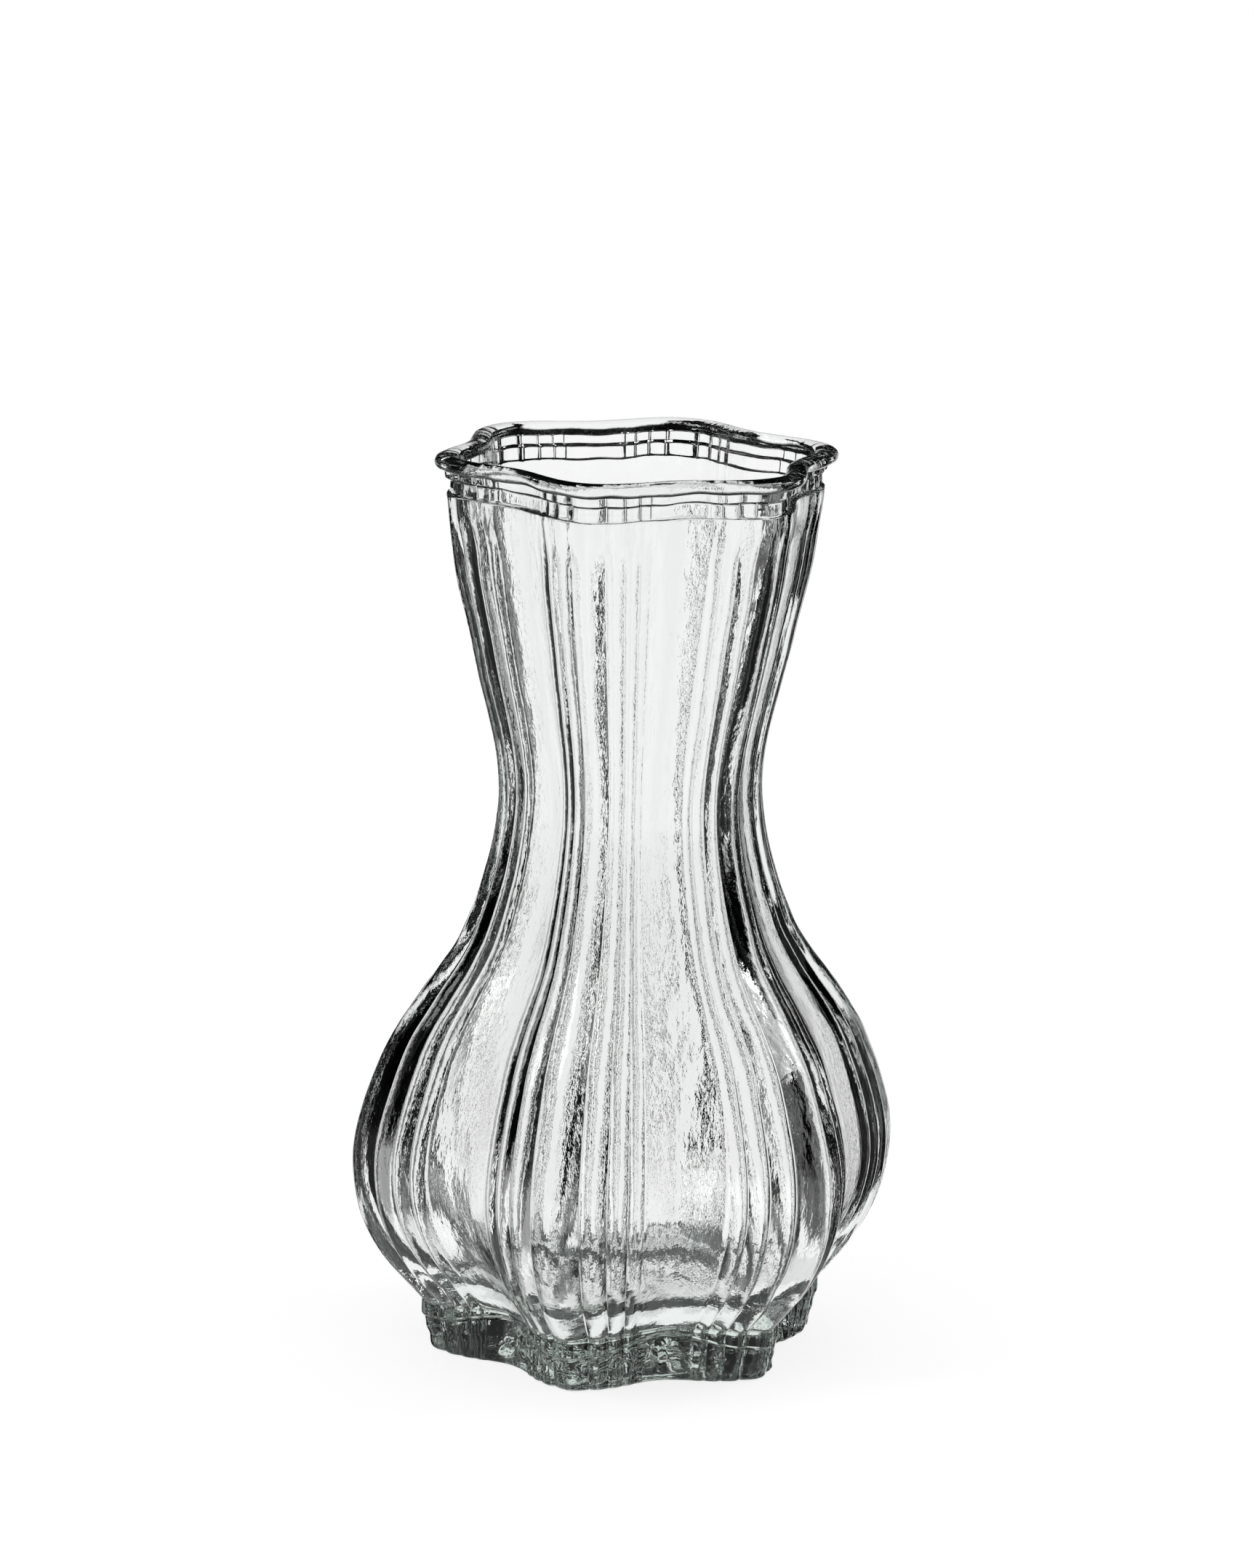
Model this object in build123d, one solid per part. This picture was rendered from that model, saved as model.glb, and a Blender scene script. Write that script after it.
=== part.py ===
"""A six-lobed vase in clear moulded glass: one hollow, one-piece vessel.

The vase stands on +Z with its origin at the centre of the foot, and a lobe's crest lies on +X.
Every horizontal section is a flower: six lobes, each faced with convex ribs, and between the lobes
a smooth hollow panel, which is deepest at the foot. The section grows and shrinks with a pear-shaped
profile, stands on a low foot with a scalloped ledge and ends at the top in a stepped collar and a
smooth half-round lip.
"""

import math
import os

from build123d import *

# Driving dimensions, in millimetres

height = 200.0

# Crest radii are measured to the outermost line of a lobe
foot_radius = 44.9
foot_taper = 1.6
foot_height = 7.5
foot_edge = 1.0
ledge_rise = 3.0

toe_overhang = 0.6
toe_height = 4.0
belly_radius = 61.5
belly_height = 43.0
waist_radius = 29.9
waist_height = 123.0
neck_radius = 42.2

collar_inset = 0.7
lower_band_height = 3.4
band_step = 1.1
upper_band_height = 2.5
lip_overhang = 2.3
lip_height = 2.6
lip_width = 5.6
mouth_round = 1.3

wall = 4.0
base_thickness = 13.0
floor_radius = 26.0

underside_radius = 27.0
underside_rise = 1.4

# The flower section: counts, and shares of the crest radius, of half a lobe's angle or of a rib's width
lobe_count = 6
foot_depth_share = 0.185
toe_depth_share = 0.215
body_depth_share = 0.14
rib_edge_shares = (0.18, 0.37, 0.525, 0.653)
rib_rise_share = 0.114
smooth_points_per_lobe = 6

# The profile between its named points: (share of the rise, share of the change of radius)
toe_to_belly_shares = ((0.27, 0.48), (0.587, 0.845))
belly_to_waist_shares = ((0.3125, 0.207), (0.6625, 0.777))
waist_to_neck_shares = ((0.511, 0.521), (0.774, 0.857))
belly_start_slope_share = 0.9
neck_end_slope_share = 0.03

# How many steps each loft is drawn in
belly_steps = 3
neck_steps = 7
bowl_steps = 3
round_steps = 3

# Sizes that follow from those above
foot_base_radius = foot_radius - foot_taper
toe_radius = foot_radius + toe_overhang
toe_top = foot_height + toe_height
lower_band_radius = neck_radius - collar_inset
upper_band_radius = lower_band_radius + band_step
lip_radius = upper_band_radius + lip_overhang
mouth_radius = lip_radius - lip_width
lip_base = height - lip_height
upper_band_base = lip_base - upper_band_height
neck_top = upper_band_base - lower_band_height
half_lobe = 180.0 / lobe_count


def polar(radius, angle, z):
    """A point at a radius and an angle in degrees, at a height."""
    turn = math.radians(angle)
    return Vector(radius * math.cos(turn), radius * math.sin(turn), z)


def lobe_fall(from_crest):
    """How far down from a lobe's crest, 0, to the hollow beside it, 1, an angle in degrees lies."""
    return (1 - math.cos(math.radians(lobe_count * from_crest))) / 2


def depth_share(z):
    """How deep the hollows are cut at a height, as a share of the crest radius."""
    climb = min(max((z - toe_top) / (belly_height - toe_top), 0), 1)
    return toe_depth_share + (body_depth_share - toe_depth_share) * climb * climb * (3 - 2 * climb)


def lobed_point(crest, lobe, from_crest, z, depth, rise=0):
    """A point of the flower, near one lobe; with a rise, the hollows lie higher than the crests."""
    fall = lobe_fall(from_crest)
    return polar(crest * (1 - depth * fall), lobe + from_crest, z + rise * fall)


def lobe_angles():
    """The angle of each lobe's crest."""
    return [2 * half_lobe * k for k in range(lobe_count)]


def smooth_outline(crest, z):
    """The flower with no ribs, as one closed curve."""
    step = 2 * half_lobe / smooth_points_per_lobe
    points = [
        lobed_point(crest, lobe, step * k, z, depth_share(z))
        for lobe in lobe_angles()
        for k in range(smooth_points_per_lobe)
    ]
    return Wire([Edge.make_spline(points, periodic=True)])


def rib_edges():
    """Angles of the grooves beside the ribs of one lobe, from its crest."""
    ahead = [share * half_lobe for share in rib_edge_shares]
    return [-angle for angle in reversed(ahead)] + ahead


def rib(start, end):
    """One convex rib between two grooves."""
    chord = end - start
    outward = chord.cross(Vector(0, 0, 1)).normalized()
    crown = (start + end) / 2 + outward * (chord.length * rib_rise_share)
    return Edge.make_three_point_arc(start, crown, end)


def ribbed_outline(crest, z, depth, rise=0):
    """The flower with convex ribs on its lobes and a smooth hollow between two lobes."""
    centre = rib_edge_shares[0] * half_lobe
    turn = math.radians(centre)
    groove = 1 - depth * lobe_fall(centre)
    base = crest / (groove * (math.cos(turn) + 2 * rib_rise_share * math.sin(turn)))
    edges = rib_edges()
    arcs = []
    for lobe in lobe_angles():
        grooves = [lobed_point(base, lobe, angle, z, depth, rise) for angle in edges]
        arcs += [rib(start, end) for start, end in zip(grooves, grooves[1:])]
        hollow = lobed_point(base, lobe, half_lobe, z, depth, rise)
        next_groove = lobed_point(base, lobe + 2 * half_lobe, edges[0], z, depth, rise)
        arcs.append(Edge.make_three_point_arc(grooves[-1], hollow, next_groove))
    return Wire(arcs)


def span(low, high, shares):
    """Points between two profile points, each at a share of the rise and of the change of radius."""
    return [
        Vector(low.X + (high.X - low.X) * r, 0, low.Z + (high.Z - low.Z) * z)
        for z, r in shares
    ]


def belly_line():
    """The crest line of a lobe from the toe to the widest point, in the plane of X and Z."""
    toe = Vector(toe_radius, 0, toe_top)
    belly = Vector(belly_radius, 0, belly_height)
    points = [toe, *span(toe, belly, toe_to_belly_shares), belly]
    return Edge.make_spline(points, tangents=[(belly_start_slope_share, 0, 1), (0, 0, 1)])


def neck_line():
    """The crest line from the widest point over the waist to the collar."""
    belly = Vector(belly_radius, 0, belly_height)
    waist = Vector(waist_radius, 0, waist_height)
    neck = Vector(neck_radius, 0, neck_top)
    points = [
        belly,
        *span(belly, waist, belly_to_waist_shares),
        waist,
        *span(waist, neck, waist_to_neck_shares),
        neck,
    ]
    return Edge.make_spline(points, tangents=[(0, 0, 1), (neck_end_slope_share, 0, 1)])


def foot_outlines():
    """The low foot: a narrowed lower edge and a wall that widens upwards to the scalloped ledge."""
    return [
        ribbed_outline(foot_base_radius - foot_edge, 0, foot_depth_share),
        ribbed_outline(foot_base_radius, foot_edge, foot_depth_share),
        ribbed_outline(foot_radius, foot_height, toe_depth_share, ledge_rise),
    ]


def toe_outlines():
    """The lower ends of the ribs, standing a little over the foot along the scalloped ledge."""
    return [
        ribbed_outline(toe_radius, foot_height, toe_depth_share, ledge_rise),
        ribbed_outline(toe_radius, toe_top, toe_depth_share),
    ]


def body_outlines():
    """Belly, waist and neck, as ribbed sections along the profile."""
    belly, neck = belly_line(), neck_line()
    stations = [belly.position_at(k / belly_steps) for k in range(belly_steps)]
    stations += [neck.position_at(k / neck_steps) for k in range(neck_steps + 1)]
    return [ribbed_outline(point.X, point.Z, depth_share(point.Z)) for point in stations]


def band_outlines(radius, base, top):
    """One upright step of the collar under the lip."""
    return [ribbed_outline(radius, z, body_depth_share) for z in (base, top)]


def lip_outlines():
    """The outside of the half-round lip, from its lower to its upper line."""
    rounding = lip_height / 2
    outlines = []
    for k in range(round_steps + 1):
        turn = math.pi * (k / round_steps - 0.5)
        radius = lip_radius - rounding * (1 - math.cos(turn))
        outlines.append(smooth_outline(radius, lip_base + rounding * (1 + math.sin(turn))))
    return outlines


def mouth_outlines():
    """The inside of the collar and the rounded inner edge of the lip."""
    outlines = [smooth_outline(mouth_radius, neck_top)]
    for k in range(round_steps + 1):
        turn = math.pi / 2 * k / round_steps
        radius = mouth_radius + mouth_round * (1 - math.cos(turn))
        outlines.append(smooth_outline(radius, height - mouth_round * (1 - math.sin(turn))))
    return outlines


def cavity_outlines():
    """The space inside: a rounded bowl up to the belly, then the profile set in by the wall."""
    inside_belly = belly_radius - wall
    outlines = []
    for k in range(bowl_steps):
        turn = math.pi / 2 * k / bowl_steps
        radius = floor_radius + (inside_belly - floor_radius) * math.sin(turn)
        rise = (belly_height - base_thickness) * (1 - math.cos(turn))
        outlines.append(smooth_outline(radius, base_thickness + rise))
    neck = neck_line()
    for k in range(neck_steps):
        at = neck.position_at(k / neck_steps)
        along = neck.tangent_at(k / neck_steps)
        inside = at + Vector(-along.Z, 0, along.X) * wall
        outlines.append(smooth_outline(inside.X, inside.Z))
    return outlines + [smooth_outline(mouth_radius, neck_top)]


def ledge(first, second):
    """The flat ring between two outlines at one height, whichever is the wider."""
    inner, outer = sorted((first, second), key=lambda outline: outline.length)
    return Face(outer, [inner])


def make_underside():
    """The shallow dome pressed up into the foot, so that the vase stands on a ring."""
    ball = (underside_radius**2 + underside_rise**2) / (2 * underside_rise)
    return Pos(0, 0, underside_rise - ball) * Solid.make_sphere(ball)


def make_vase():
    """The whole vessel: skins for each form, flat ledges between them, a floor and a standing face."""
    foot = foot_outlines()
    toe = toe_outlines()
    body = body_outlines()
    lower_band = band_outlines(lower_band_radius, neck_top, upper_band_base)
    upper_band = band_outlines(upper_band_radius, upper_band_base, lip_base)
    lip = lip_outlines()
    mouth = mouth_outlines()
    cavity = cavity_outlines()
    steps = [(body, lower_band), (lower_band, upper_band), (upper_band, lip)]
    faces = [Face(foot[0]), Face(cavity[0]), ledge(lip[-1], mouth[-1])]
    faces += [ledge(below[-1], above[0]) for below, above in steps]
    for form in (body, cavity):
        faces += Shell.make_loft(form).faces()
    scallops = [foot[-1], toe[0]]
    for form in (foot, scallops, toe, lower_band, upper_band, lip, mouth):
        faces += Shell.make_loft(form, ruled=True).faces()
    return Solid(Shell(faces)) - make_underside()


os.makedirs("parts", exist_ok=True)
export_step(make_vase(), "parts/vase.step")
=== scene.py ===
"""Looks of the lobed glass vase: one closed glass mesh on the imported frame, its stage, lamps and camera."""

import math
from collections import namedtuple

import bpy
import numpy as np
from mathutils import Matrix, Vector, noise


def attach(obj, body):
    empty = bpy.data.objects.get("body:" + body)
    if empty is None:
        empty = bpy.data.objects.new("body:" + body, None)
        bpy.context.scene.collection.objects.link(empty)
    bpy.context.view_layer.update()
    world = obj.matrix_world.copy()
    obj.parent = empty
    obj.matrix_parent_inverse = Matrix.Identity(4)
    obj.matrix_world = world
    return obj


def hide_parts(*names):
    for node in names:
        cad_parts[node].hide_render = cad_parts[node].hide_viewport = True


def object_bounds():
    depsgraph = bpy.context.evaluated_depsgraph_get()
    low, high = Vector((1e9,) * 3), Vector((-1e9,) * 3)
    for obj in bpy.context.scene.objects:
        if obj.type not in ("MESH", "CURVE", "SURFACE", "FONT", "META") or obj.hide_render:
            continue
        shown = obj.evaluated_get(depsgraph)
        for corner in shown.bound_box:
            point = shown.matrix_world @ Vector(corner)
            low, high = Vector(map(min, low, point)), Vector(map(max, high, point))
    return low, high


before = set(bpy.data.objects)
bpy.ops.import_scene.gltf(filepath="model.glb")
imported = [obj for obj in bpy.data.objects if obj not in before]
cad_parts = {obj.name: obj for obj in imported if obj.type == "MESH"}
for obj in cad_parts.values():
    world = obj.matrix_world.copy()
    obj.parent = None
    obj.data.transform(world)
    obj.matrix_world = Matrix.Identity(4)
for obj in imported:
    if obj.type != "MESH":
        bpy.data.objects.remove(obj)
cad_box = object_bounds()

# One millimetre of the drawing, which is 200 tall, in the frame's metres
drawn_height = 200.0
height = cad_box[1].z - cad_box[0].z
MM = height / drawn_height

# Sizes of the glass; crest radii are measured to the outermost line of a lobe, the lip's tilt is in degrees
foot_radius = 44.9 * MM
foot_taper = 1.6 * MM
foot_height = 7.5 * MM
foot_edge = 1.0 * MM
ledge_rise = 3.0 * MM
toe_overhang = 0.6 * MM
toe_height = 4.0 * MM
belly_radius = 61.5 * MM
belly_height = 43.0 * MM
waist_radius = 29.9 * MM
waist_height = 123.0 * MM
neck_radius = 42.2 * MM
collar_inset = 0.7 * MM
lower_band_height = 3.4 * MM
band_gap = 0.2 * MM
band_step = 1.1 * MM
band_flare = 0.2 * MM
upper_band_drop = 5.1 * MM
lip_overhang = 2.3 * MM
lip_width = 5.6 * MM
lip_round = 1.3 * MM
lip_tilt = 24.0
mouth_reach = 3.0 * MM
wall = 4.0 * MM
base_thickness = 13.0 * MM
floor_radius = 26.0 * MM
floor_dip = 0.4 * MM
underside_radius = 27.0 * MM
underside_rise = 1.4 * MM
step_round = 0.35 * MM
toe_round = 2 * step_round
ledge_lap = 0.3 * step_round

# Sizes that follow from those above
foot_base_radius = foot_radius - foot_taper
toe_radius = foot_radius + toe_overhang
toe_top = foot_height + toe_height
lower_band_radius = neck_radius - collar_inset
upper_band_radius = lower_band_radius + band_step
lip_radius = upper_band_radius + lip_overhang
mouth_radius = lip_radius - lip_width
lip_slope = math.radians(lip_tilt)
lip_half = lip_width / 2 - lip_round * (1 - math.sin(lip_slope))
lip_curve = lip_half / math.sin(lip_slope)
lip_axis = height - lip_half * math.tan(lip_slope / 2) - lip_round * math.cos(lip_slope)
lip_base = lip_axis - lip_round
upper_band_base = height - upper_band_drop
neck_top = upper_band_base - lower_band_height

# Where each rounded edge starts and ends, in degrees up from straight outwards
foot_edge_turn = (-75, 0)
toe_turn = (-60, 0)
shoulder_turn = (0, 80)
band_turn = (-70, 0)
lip_turn = (-80, 90 - lip_tilt)
crown_turn = (90 - lip_tilt, 90 + lip_tilt)
mouth_turn = (90 + lip_tilt, 180)

# The flower section: six lobes with seven ribs each; depths are shares of the radius, rises of a rib's width
lobe_count = 6
half_lobe = math.pi / lobe_count
foot_depth_share = 0.185
toe_depth_share = 0.215
body_depth_share = 0.14
rib_edge_shares = (0.18, 0.37, 0.525, 0.653)
rib_rise_share = 0.26

# How strongly the ribs stand out on each form, how they fade up the neck, and how square they are
standing_ribs = 0.6
foot_edge_ribs = 0.7
foot_ribs = 0.8
toe_ribs = 1.0
shoulder_ribs = 0.15
lower_band_ribs = 0.8
upper_band_ribs = 0.7
neck_rib_loss = 0.4
collar_rib_loss = 0.85
rib_fade_drop = 3.0 * MM
rib_fade_length = 9.0 * MM
round_ribs = 2.0
square_ribs = 5.0

# The profile between its named points: (share of the rise, share of the change of radius)
toe_to_belly_shares = ((0.27, 0.48), (0.587, 0.845))
belly_to_waist_shares = ((0.3125, 0.207), (0.6625, 0.777))
waist_to_neck_shares = ((0.511, 0.521), (0.774, 0.857))

# How many rows each form of the mesh is drawn in, and how many columns a rib and a hollow have
underside_rows = 18
standing_rows = 6
foot_edge_rows = 5
foot_rows = 9
toe_rows = 5
body_rows = 120
step_rows = 4
lower_band_rows = 5
upper_band_rows = 4
lip_rows = 12
crown_rows = 9
mouth_edge_rows = 8
mouth_rows = 8
bowl_rows = 28
floor_rows = 9
rib_columns = 9
hollow_columns = 16

# Unevenness of the glass: how strong each kind of wave is, how wide, how long up and down, and its seed
Wave = namedtuple("Wave", "amount across along seed")
skin_wave = Wave(0.08 * MM, 5.0 * MM, 25.0 * MM, 11.0)
foot_wave = Wave(0.45 * MM, 2.0 * MM, 2.0 * MM, 21.0)
collar_wave = Wave(0.15 * MM, 3.0 * MM, 2.0 * MM, 31.0)
sag_wave = Wave(0.4 * MM, 7.0 * MM, 7.0 * MM, 5.0)
underside_wave = Wave(0.8 * MM, 3.0 * MM, 3.0 * MM, 51.0)
wall_wave = Wave(0.3 * MM, 7.0 * MM, 30.0 * MM, 3.0)
floor_wave = Wave(0.5 * MM, 6.0 * MM, 6.0 * MM, 41.0)

# Where the waves of a form die out, and up to which height the foot stays level
collar_wave_edge = 2.0 * MM
floor_wave_reach = 4.0 * MM
floor_wave_edge = 6.0 * MM
underside_fade_share = 0.25
level_height = 2 * foot_edge

# One ring of the mesh: crest radius, height, depth of the hollows, strength of the ribs, rise of the hollows,
# and how square the ribs are
Ring = namedtuple("Ring", "radius z depth rib rise square", defaults=(0.0, round_ribs))


def ease(share):
    """A smooth climb from 0 to 1."""
    share = min(max(share, 0.0), 1.0)
    return share * share * (3 - 2 * share)


def depth_at(z):
    """How deep the hollows are cut at a height, as a share of the crest radius."""
    climb = ease((z - toe_top) / (belly_height - toe_top))
    return toe_depth_share + (body_depth_share - toe_depth_share) * climb


def ribs_at(z):
    """How strongly the ribs stand out: fully at the belly, less on the neck and faintly under the collar."""
    slim = 1 - neck_rib_loss * ease((z - belly_height) / (waist_height - belly_height))
    fade_end = neck_top - rib_fade_drop
    return slim * (1 - collar_rib_loss * ease((z - fade_end) / rib_fade_length + 1))


def span(low, high, shares):
    """Profile points between two named ones."""
    return [(low[0] + (high[0] - low[0]) * r, low[1] + (high[1] - low[1]) * z) for z, r in shares]


def smooth_curve(points, count):
    """Points along a smooth curve through the given (radius, height) points."""
    p = np.array(points)
    steps = np.linalg.norm(np.diff(p, axis=0), axis=1)
    at = np.concatenate([[0.0], np.cumsum(steps)])
    slope = np.gradient(p, at, axis=0)
    s = np.linspace(0.0, at[-1], count)
    k = np.clip(np.searchsorted(at, s, side="right") - 1, 0, len(at) - 2)
    width = at[k + 1] - at[k]
    t = ((s - at[k]) / width)[:, None]
    width = width[:, None]
    return (
        (2 * t**3 - 3 * t**2 + 1) * p[k]
        + (t**3 - 2 * t**2 + t) * width * slope[k]
        + (3 * t**2 - 2 * t**3) * p[k + 1]
        + (t**3 - t**2) * width * slope[k + 1]
    )


def crest_profile():
    """The outer crest line from the toe to the collar."""
    toe = (toe_radius, toe_top)
    belly = (belly_radius, belly_height)
    waist = (waist_radius, waist_height)
    neck = (neck_radius, neck_top)
    points = [
        toe,
        *span(toe, belly, toe_to_belly_shares),
        belly,
        *span(belly, waist, belly_to_waist_shares),
        waist,
        *span(waist, neck, waist_to_neck_shares),
        neck,
    ]
    return smooth_curve(points, body_rows)


def arc(centre, radius, turn, count):
    """(radius, height) points on an arc about a centre, between the two angles of a turn."""
    angles = np.radians(np.linspace(*turn, count))
    return [(centre[0] + radius * math.cos(a), centre[1] + radius * math.sin(a)) for a in angles]


def line(start, end, count):
    """Points on a straight line, without its first point."""
    return [
        (start[0] + (end[0] - start[0]) * k / count, start[1] + (end[1] - start[1]) * k / count)
        for k in range(1, count + 1)
    ]


def foot_rings():
    """The underside's dome, the standing ring and the foot's wall up to the scalloped ledge."""
    edge = foot_base_radius - foot_edge
    rings = []
    for k in range(1, underside_rows + 1):
        r = underside_radius * k / underside_rows
        rings.append(Ring(r, underside_rise * (1 - (r / underside_radius) ** 2), 0.0, 0.0))
    for k in range(1, standing_rows + 1):
        share = k / standing_rows
        r = underside_radius + (edge - underside_radius) * share
        rings.append(Ring(r, 0.0, foot_depth_share * share, standing_ribs * share))
    bend = arc((edge, foot_edge), foot_edge, foot_edge_turn, foot_edge_rows)
    rings += [Ring(r, z, foot_depth_share, foot_edge_ribs) for r, z in bend]
    for r, z in line((foot_base_radius, foot_edge), (foot_radius, foot_height - step_round), foot_rows):
        share = (z - foot_edge) / (foot_height - foot_edge)
        depth = foot_depth_share + (toe_depth_share - foot_depth_share) * share
        rings.append(Ring(r, z, depth, foot_ribs, ledge_rise * share))
    rings.append(Ring(foot_radius + ledge_lap, foot_height, toe_depth_share, foot_ribs, ledge_rise))
    return rings


def toe_rings():
    """The lower ends of the ribs, rounded over the ledge."""
    base = foot_height + toe_round
    bend = arc((toe_radius - toe_round, base), toe_round, toe_turn, toe_rows)
    rings = [Ring(r, z, toe_depth_share, toe_ribs, ledge_rise) for r, z in bend]
    for r, z in line((toe_radius, base), (toe_radius, toe_top), toe_rows):
        share = (z - foot_height) / (toe_top - foot_height)
        rings.append(Ring(r, z, toe_depth_share, toe_ribs, ledge_rise * (1 - share)))
    return rings


def collar_rings():
    """The shoulder of the neck, two stepped bands and the outside of the rounded lip."""
    lower_foot = (lower_band_radius, neck_top)
    lower_top = (lower_band_radius, upper_band_base - band_gap)
    upper_foot = (upper_band_radius, upper_band_base + step_round)
    upper_top = (upper_band_radius + band_flare, lip_base)
    shoulder = arc((neck_radius - step_round, neck_top - step_round), step_round, shoulder_turn, step_rows)
    lower = [lower_foot, *line(lower_foot, lower_top, lower_band_rows)]
    upper = arc((upper_foot[0] - step_round, upper_foot[1]), step_round, band_turn, step_rows)
    upper += line(upper_foot, upper_top, upper_band_rows)
    lip = arc((lip_radius - lip_round, lip_axis), lip_round, lip_turn, lip_rows)
    rings = [Ring(r, z, body_depth_share, shoulder_ribs) for r, z in shoulder]
    rings += [Ring(r, z, body_depth_share, lower_band_ribs, 0.0, square_ribs) for r, z in lower]
    rings += [Ring(r, z, body_depth_share, upper_band_ribs, 0.0, square_ribs) for r, z in upper]
    return rings + [Ring(r, z, body_depth_share, 0.0) for r, z in lip]


def outside_rings():
    """The outer skin, from the middle of the underside to the outer edge of the lip's crown."""
    body = [Ring(r, z, depth_at(z), ribs_at(z)) for r, z in crest_profile()[1:-1]]
    return foot_rings() + toe_rings() + body + collar_rings()


def mouth_points():
    """The domed crown of the lip and its inner edge."""
    middle = (lip_radius + mouth_radius) / 2
    crown = arc((middle, height - lip_curve), lip_curve, crown_turn, crown_rows)
    edge = arc((mouth_radius + lip_round, lip_axis), lip_round, mouth_turn, mouth_edge_rows)
    return crown[1:] + edge[1:]


def wall_points():
    """The inside from the lip down to the belly: the crest line, set in by the wall."""
    profile = crest_profile()
    along = np.gradient(profile, axis=0)
    along /= np.linalg.norm(along, axis=1)[:, None]
    inner = profile + np.stack([-along[:, 1], along[:, 0]], axis=1) * wall
    inner = inner[(inner[:, 1] > belly_height) & (inner[:, 1] < neck_top - mouth_reach)][::-1]
    mouth = line((mouth_radius, lip_axis), tuple(inner[0]), mouth_rows)
    return mouth + [tuple(point) for point in inner[1:]]


def bowl_points():
    """The rounded bowl from the belly down to the floor."""
    bowl_radius = belly_radius - wall - floor_radius
    bowl_rise = belly_height - base_thickness
    points = []
    for k in range(bowl_rows + 1):
        turn = math.pi / 2 * (1 - k / bowl_rows)
        r = floor_radius + bowl_radius * math.sin(turn)
        points.append((r, base_thickness + bowl_rise * (1 - math.cos(turn))))
    return points


def inside_rings():
    """The inner skin, from the lip's crown down to the middle of the floor."""
    points = mouth_points() + wall_points() + bowl_points()
    rings = [Ring(r, z, depth_at(z), 0.0) for r, z in points]
    for k in range(1, floor_rows):
        share = 1 - k / floor_rows
        z = base_thickness - floor_dip * (1 - share**2)
        rings.append(Ring(floor_radius * share, z, toe_depth_share * share, 0.0))
    return rings


def around():
    """Columns round the vase: angle, place across a rib from -1 to 1, and the rib's width, 0 in a hollow."""
    ahead = [share * half_lobe for share in rib_edge_shares]
    edges = [-a for a in reversed(ahead)] + ahead
    columns = []
    for lobe in range(lobe_count):
        crest = 2 * half_lobe * lobe
        for low, high in zip(edges, edges[1:]):
            for k in range(rib_columns):
                across = math.sin(math.pi / 2 * (2 * k / rib_columns - 1))
                columns.append((crest + (low + high) / 2 + (high - low) / 2 * across, across, high - low))
        hollow = 2 * half_lobe - 2 * edges[-1]
        for k in range(hollow_columns):
            columns.append((crest + edges[-1] + hollow * k / hollow_columns, 1.0, 0.0))
    return (np.array(column)[None, :] for column in zip(*columns))


def skin(rings):
    """Grid of points: one row for each ring."""
    angles, across, widths = around()
    fall = (1 - np.cos(lobe_count * angles)) / 2
    crest, z, depth, rib, rise, square = (np.array(column)[:, None] for column in zip(*rings))
    ribs = rib * rib_rise_share * widths * (1 - np.abs(across) ** square)
    radius = crest * (1 - depth * fall) * (1 + ribs) / (1 + rib * rib_rise_share * widths.max())
    return np.stack([radius * np.cos(angles), radius * np.sin(angles), z + rise * fall], axis=2)


def waves(points, wave):
    """A smooth random number from -1 to 1 at each point."""
    places = [(x / wave.across + wave.seed, y / wave.across, z / wave.along) for x, y, z in points]
    return np.array([noise.noise(Vector(place)) for place in places])


def ripple(points, wave, strength=1.0):
    """Waves in a skin, pushed in and out from the axis; the strength may differ from point to point."""
    radial = points[:, :2] / np.maximum(np.linalg.norm(points[:, :2], axis=1), MM)[:, None]
    points[:, :2] += radial * (waves(points, wave) * wave.amount * strength)[:, None]


def band(z, low, high, edge):
    """1 between two heights, falling to 0 over an edge outside them."""
    return np.clip(np.minimum(z - low, high - z) / edge + 1, 0.0, 1.0)


def age_outside(points):
    """Unevenness of the pressed outer skin: gentle on the body, livelier on foot, underside and collar."""
    z = points[:, 2].copy()
    ripple(points, skin_wave)
    ripple(points, foot_wave, band(z, foot_edge, foot_height, foot_edge))
    ripple(points, collar_wave, band(z, neck_top, lip_base, collar_wave_edge))
    free = band(z, level_height, height - lip_round, foot_edge)
    points[:, 2] += sag_wave.amount * free * waves(points, sag_wave)
    inward = 1 - np.linalg.norm(points[:, :2], axis=1) / underside_radius
    rough = (z < level_height) * np.clip(inward / underside_fade_share, 0.0, 1.0)
    points[:, 2] += underside_wave.amount * rough * (1 + waves(points, underside_wave))


def age_inside(points):
    """Unevenness of the inner skin: long waves up the wall and an unsettled floor."""
    z = points[:, 2].copy()
    ripple(points, wall_wave)
    low = band(z, 0.0, base_thickness + floor_wave_reach, floor_wave_edge)
    points[:, 2] += floor_wave.amount * low * waves(points, floor_wave)


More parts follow.
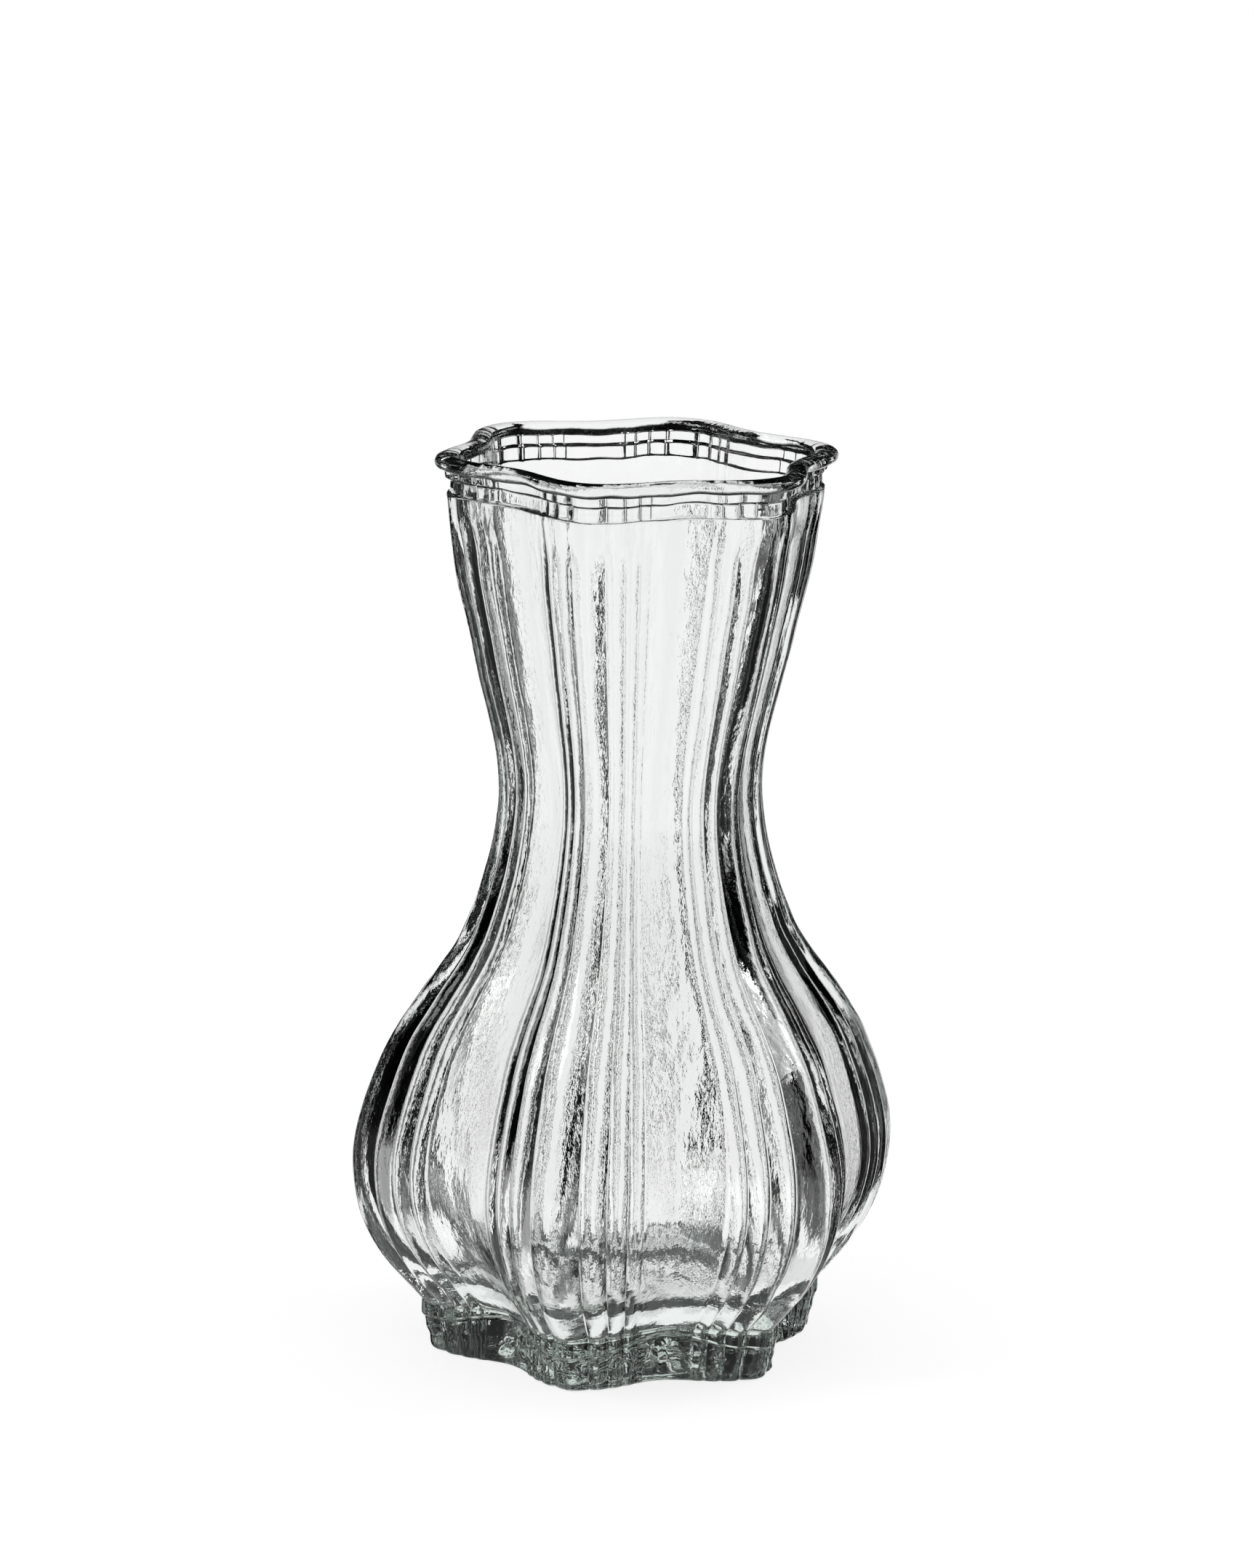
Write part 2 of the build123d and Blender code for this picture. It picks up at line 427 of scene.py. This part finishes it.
def make_vase():
    """The whole vessel as one closed mesh: outer skin, inner skin and the two middle points."""
    outside = skin(outside_rings())
    inside = skin(inside_rings())
    columns = outside.shape[1]
    count = len(outside) + len(inside)
    outside = outside.reshape(-1, 3)
    inside = inside.reshape(-1, 3)
    age_outside(outside)
    age_inside(inside)
    points = np.concatenate([outside, inside]).tolist()
    under = len(points)
    points += [(0, 0, underside_rise + underside_wave.amount), (0, 0, base_thickness - floor_dip)]
    faces = []
    for row in range(count - 1):
        low = row * columns
        high = low + columns
        for c in range(columns):
            d = (c + 1) % columns
            faces.append((low + c, low + d, high + d, high + c))
    last = (count - 1) * columns
    for c in range(columns):
        d = (c + 1) % columns
        faces.append((under, d, c))
        faces.append((under + 1, last + c, last + d))
    mesh = bpy.data.meshes.new("vase_glass")
    mesh.from_pydata(points, [], faces)
    mesh.polygons.foreach_set("use_smooth", [True] * len(mesh.polygons))
    vase = bpy.data.objects.new("vase_glass", mesh)
    bpy.context.scene.collection.objects.link(vase)
    return vase


# The glass itself, and the size and height of the pebbles on its skin
glass_ior = 1.5
body_colour = (0.80, 0.86, 0.83, 1)
body_density = 30.0
pebble_across = 1.6 * MM
pebble_along = 5.0 * MM
pebble_height = 0.09 * MM
pebble_detail = 3.0


def glass():
    """Clear moulded glass: a faint green-grey body and a fine pebbled chill on its skin."""
    material = bpy.data.materials.new("clear_glass")
    material.use_nodes = True
    nodes, links = material.node_tree.nodes, material.node_tree.links
    shader = nodes["Principled BSDF"]
    shader.inputs["Base Color"].default_value = (1, 1, 1, 1)
    shader.inputs["Transmission Weight"].default_value = 1.0
    shader.inputs["Roughness"].default_value = 0.0
    shader.inputs["IOR"].default_value = glass_ior
    place = nodes.new("ShaderNodeTexCoord")
    stretch = nodes.new("ShaderNodeMapping")
    stretch.inputs["Scale"].default_value = (1 / pebble_across, 1 / pebble_across, 1 / pebble_along)
    links.new(place.outputs["Object"], stretch.inputs["Vector"])
    pebble = nodes.new("ShaderNodeTexNoise")
    pebble.inputs["Scale"].default_value = 1.0
    pebble.inputs["Detail"].default_value = pebble_detail
    links.new(stretch.outputs["Vector"], pebble.inputs["Vector"])
    bump = nodes.new("ShaderNodeBump")
    bump.inputs["Strength"].default_value = 1.0
    bump.inputs["Distance"].default_value = pebble_height
    links.new(pebble.outputs["Fac"], bump.inputs["Height"])
    links.new(bump.outputs["Normal"], shader.inputs["Normal"])
    volume = nodes.new("ShaderNodeVolumeAbsorption")
    volume.inputs["Color"].default_value = body_colour
    volume.inputs["Density"].default_value = body_density
    links.new(volume.outputs[0], nodes["Material Output"].inputs["Volume"])
    return material


vase = make_vase()
vase.data.materials.append(glass())
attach(vase, "root")
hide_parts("vase")

# Camera: where the photograph was taken from, in metres, and its lens in the photograph's pixels
view_azimuth = math.radians(-15.5)
camera_back = 1.553
camera_height = 0.4824
camera_pitch = math.radians(12.93)
camera_roll = math.radians(1.135)
photo_height_px = 2156
focal_px = 10023
sideways_px = 5.0
sensor_width = 36.0
turn_to_view = Matrix.Rotation(view_azimuth, 4, "Z")


def add_camera():
    """The photograph's camera."""
    data = bpy.data.cameras.new("camera")
    data.sensor_width = sensor_width
    data.lens = sensor_width * focal_px / photo_height_px
    data.shift_x = -sideways_px / photo_height_px
    camera = bpy.data.objects.new("camera", data)
    bpy.context.scene.collection.objects.link(camera)
    tilt = Matrix.Rotation(math.pi / 2 - camera_pitch, 4, "X")
    roll = Matrix.Rotation(camera_roll, 4, "Z")
    place = Matrix.Translation((0, -camera_back, camera_height))
    camera.matrix_world = turn_to_view @ place @ tilt @ roll
    bpy.context.scene.camera = camera


# What the glass sees: a white surround with dark and grey flags, a dark ceiling and a white floor below
# Each flag: its bearing to the right of the line of sight and half its width, in degrees, and its light
flags = (
    (-40, 14, 0.003),
    (50, 14, 0.003),
    (-83, 10, 0.35),
    (97, 12, 0.12),
    (-128, 11, 0.35),
    (142, 11, 0.35),
    (-173, 11, 0.35),
)
flag_edge = math.radians(7.0)

# Where ceiling and floor begin and where they are full, as the sine of the elevation, and their light
ceiling_from = math.sin(math.radians(-6.0))
ceiling_full = math.sin(math.radians(3.0))
ceiling_level = 0.003
floor_full = math.sin(math.radians(-50.0))
floor_from = math.sin(math.radians(-32.0))
floor_level = 0.8

# The ray depths between which light fades, and what is left of it; straight through the vase is a depth of 5
fade_from = 5.0
fade_full = 7.0
faded_level = 0.02

# The floor, in metres, the share of its white that can be shaded, and the even light that falls on it
floor_half = 6.0
floor_drop = 0.0002
shadow_share = 0.25
plain_level = 0.8

# Soft lamps, in metres and watts; a place is so far to the right, ahead and up as the camera looks
lamp_size = 0.7
key_place = (-1.1, -0.5, 1.3)
key_watts = 6.0
fill_place = (1.2, 0.3, 1.1)
fill_watts = 4.0


def math_node(nodes, links, operation, *values):
    """Output of a Math node; each value is a number or an output."""
    node = nodes.new("ShaderNodeMath")
    node.operation = operation
    for socket, value in zip(node.inputs, values):
        if isinstance(value, (int, float)):
            socket.default_value = value
        else:
            links.new(value, socket)
    return node.outputs[0]


def ramp_node(nodes, links, value, start, end, low, high):
    """Output of a Map Range node that goes smoothly from low at start to high at end."""
    node = nodes.new("ShaderNodeMapRange")
    node.interpolation_type = "SMOOTHSTEP"
    links.new(value, node.inputs["Value"])
    for name, number in (("From Min", start), ("From Max", end), ("To Min", low), ("To Max", high)):
        node.inputs[name].default_value = number
    return node.outputs["Result"]


def screens(nodes, links, place):
    """Brightness by bearing: a white surround with the flags in it."""
    level = nodes.new("ShaderNodeVectorMath")
    level.operation = "MULTIPLY"
    links.new(place, level.inputs[0])
    level.inputs[1].default_value = (1, 1, 0)
    bearing = nodes.new("ShaderNodeVectorMath")
    bearing.operation = "NORMALIZE"
    links.new(level.outputs[0], bearing.inputs[0])
    bright = 1.0
    for turn, half, light in flags:
        turn, half = math.radians(turn), math.radians(half)
        towards = nodes.new("ShaderNodeVectorMath")
        towards.operation = "DOT_PRODUCT"
        links.new(bearing.outputs[0], towards.inputs[0])
        towards.inputs[1].default_value = turn_to_view.to_3x3() @ Vector((math.sin(turn), math.cos(turn), 0))
        start, end = math.cos(half + flag_edge), math.cos(half)
        flag = ramp_node(nodes, links, towards.outputs["Value"], start, end, 1.0, light)
        bright = math_node(nodes, links, "MULTIPLY", flag, bright)
    return bright


def bounce_fade(nodes, links, path):
    """Light that has gone to and fro in the glass many times arrives weaker."""
    return ramp_node(nodes, links, path.outputs["Ray Depth"], fade_from, fade_full, 1.0, faded_level)


def add_floor():
    """A plain white floor that keeps the shadow."""
    mesh = bpy.data.meshes.new("floor")
    sides = ((-1, -1), (1, -1), (1, 1), (-1, 1))
    corners = [(x * floor_half, y * floor_half, -floor_drop) for x, y in sides]
    mesh.from_pydata(corners, [], [(0, 1, 2, 3)])
    floor = bpy.data.objects.new("floor", mesh)
    bpy.context.scene.collection.objects.link(floor)
    floor.visible_transmission = False
    floor.visible_glossy = False
    material = bpy.data.materials.new("floor_white")
    material.use_nodes = True
    nodes, links = material.node_tree.nodes, material.node_tree.links
    nodes.clear()
    paint = nodes.new("ShaderNodeBsdfDiffuse")
    paint.inputs["Color"].default_value = (shadow_share, shadow_share, shadow_share, 1)
    white = nodes.new("ShaderNodeEmission")
    white.inputs["Strength"].default_value = 1 - shadow_share * plain_level
    both = nodes.new("ShaderNodeAddShader")
    links.new(paint.outputs[0], both.inputs[0])
    links.new(white.outputs[0], both.inputs[1])
    output = nodes.new("ShaderNodeOutputMaterial")
    links.new(both.outputs[0], output.inputs["Surface"])
    mesh.materials.append(material)


def add_world():
    """White to the camera, an even light to the floor, and bright and dark screens to the glass."""
    world = bpy.data.worlds.new("studio")
    bpy.context.scene.world = world
    world.use_nodes = True
    nodes, links = world.node_tree.nodes, world.node_tree.links
    background = nodes["Background"]
    background.inputs["Color"].default_value = (1, 1, 1, 1)
    path = nodes.new("ShaderNodeLightPath")
    place = nodes.new("ShaderNodeTexCoord").outputs["Generated"]
    parts = nodes.new("ShaderNodeSeparateXYZ")
    links.new(place, parts.inputs[0])
    ceiling = ramp_node(nodes, links, parts.outputs["Z"], ceiling_from, ceiling_full, 1.0, ceiling_level)
    below = ramp_node(nodes, links, parts.outputs["Z"], floor_full, floor_from, floor_level, 0.0)
    bright = math_node(nodes, links, "MULTIPLY", ceiling, screens(nodes, links, place))
    bright = math_node(nodes, links, "MAXIMUM", bright, below)
    bright = math_node(nodes, links, "MULTIPLY", bright, bounce_fade(nodes, links, path))
    even = math_node(nodes, links, "MULTIPLY", path.outputs["Is Diffuse Ray"], plain_level)
    bright = math_node(nodes, links, "MAXIMUM", bright, even)
    bright = math_node(nodes, links, "MAXIMUM", bright, path.outputs["Is Camera Ray"])
    links.new(bright, background.inputs["Strength"])


def add_lamp(name, place, watts):
    """A soft square lamp that looks at the middle of the vase."""
    data = bpy.data.lights.new(name, "AREA")
    data.size = lamp_size
    data.energy = watts
    lamp = bpy.data.objects.new(name, data)
    lamp.location = turn_to_view @ Vector(place)
    aim = Vector((0, 0, height / 2)) - lamp.location
    lamp.rotation_mode = "QUATERNION"
    lamp.rotation_quaternion = aim.to_track_quat("-Z", "Y")
    bpy.context.scene.collection.objects.link(lamp)


add_camera()
add_floor()
add_world()
add_lamp("key", key_place, key_watts)
add_lamp("fill", fill_place, fill_watts)

# Light crosses many surfaces in ribbed glass, so it may bounce more often than usual
scene = bpy.context.scene
scene.view_settings.view_transform = "Standard"
scene.cycles.max_bounces = 24
scene.cycles.transmission_bounces = 24
scene.cycles.glossy_bounces = 16
